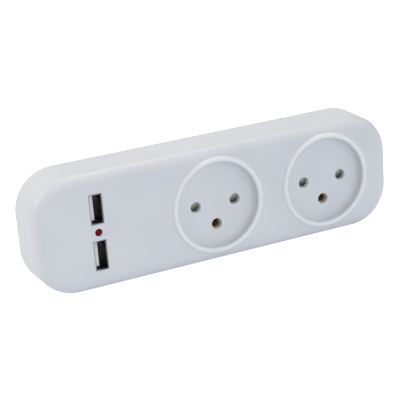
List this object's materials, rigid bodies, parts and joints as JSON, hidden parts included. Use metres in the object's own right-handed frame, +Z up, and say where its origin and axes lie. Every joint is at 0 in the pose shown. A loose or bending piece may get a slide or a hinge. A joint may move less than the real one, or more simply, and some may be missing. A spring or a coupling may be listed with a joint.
{
  "type": "multi socket adapter",
  "caption": "Oblong wall plug adapter with round recessed mains sockets, shuttered round pin holes, USB charging ports and a red indicator.",
  "frame": {"origin": "where the axis of the plug, behind the left socket, meets the face of the plug's boss", "axes": "+X to the right along the face, +Y out of the back along the pins, +Z up the face"},
  "size_m": [0.1726, 0.0509, 0.0526],
  "materials": {
    "housing": "satin moulded, pale blue grey white",
    "inner_plastic": "moulded, grey",
    "contact_brass": "rolled strip",
    "pin_nickel": "turned, nickel plated",
    "steel": "plated",
    "port_plastic": "moulded, white",
    "port_contact": "gold plated",
    "lens": "clear red, polished",
    "board": "laminate with green mask",
    "ferrite": "sintered, dark grey",
    "tape": "yellow film tape",
    "capacitor_sleeve": "shrunk sleeve, dark",
    "component_body": "moulded, black",
    "brown_insulation": "extruded, brown",
    "blue_insulation": "extruded, blue"
  },
  "bodies": {
    "housing": {"front_housing": "housing", "rear_housing": "housing", "left_shutter_retainer": "inner_plastic", "right_shutter_retainer": "inner_plastic", "neutral_bar": "contact_brass", "line_bar": "contact_brass", "earth_bar": "contact_brass", "neutral_pin": "pin_nickel", "line_pin": "pin_nickel", "earth_pin": "pin_nickel", "housing_screws": "steel", "left_shutter_spring": "steel", "right_shutter_spring": "steel", "upper_usb_shell": "steel", "lower_usb_shell": "steel", "indicator_leads": "steel", "upper_usb_insulator": "port_plastic", "lower_usb_insulator": "port_plastic", "upper_usb_contacts": "port_contact", "lower_usb_contacts": "port_contact", "indicator_lens": "lens", "circuit_board": "board", "transformer_core": "ferrite", "transformer_winding": "tape", "bulk_capacitor": "capacitor_sleeve", "output_capacitors": "capacitor_sleeve", "bridge_rectifier": "component_body", "controller_chip": "component_body", "line_fuse": "component_body", "line_lead": "brown_insulation", "neutral_lead": "blue_insulation"},
    "left_shutter": {"left_shutter": "inner_plastic"},
    "right_shutter": {"right_shutter": "inner_plastic"}
  },
  "joints": [
    {"name": "left_shutter_slide", "type": "slide", "parent": "housing", "child": "left_shutter", "axis": [0, 0, 1], "range_m": [0, 0.0054], "stiffness_N_per_m": 100, "springref_m": -0.002, "deforming": ["left_shutter_spring"]},
    {"name": "right_shutter_slide", "type": "slide", "parent": "housing", "child": "right_shutter", "axis": [0, 0, 1], "range_m": [0, 0.0054], "stiffness_N_per_m": 100, "springref_m": -0.002, "deforming": ["right_shutter_spring"]}
  ]
}
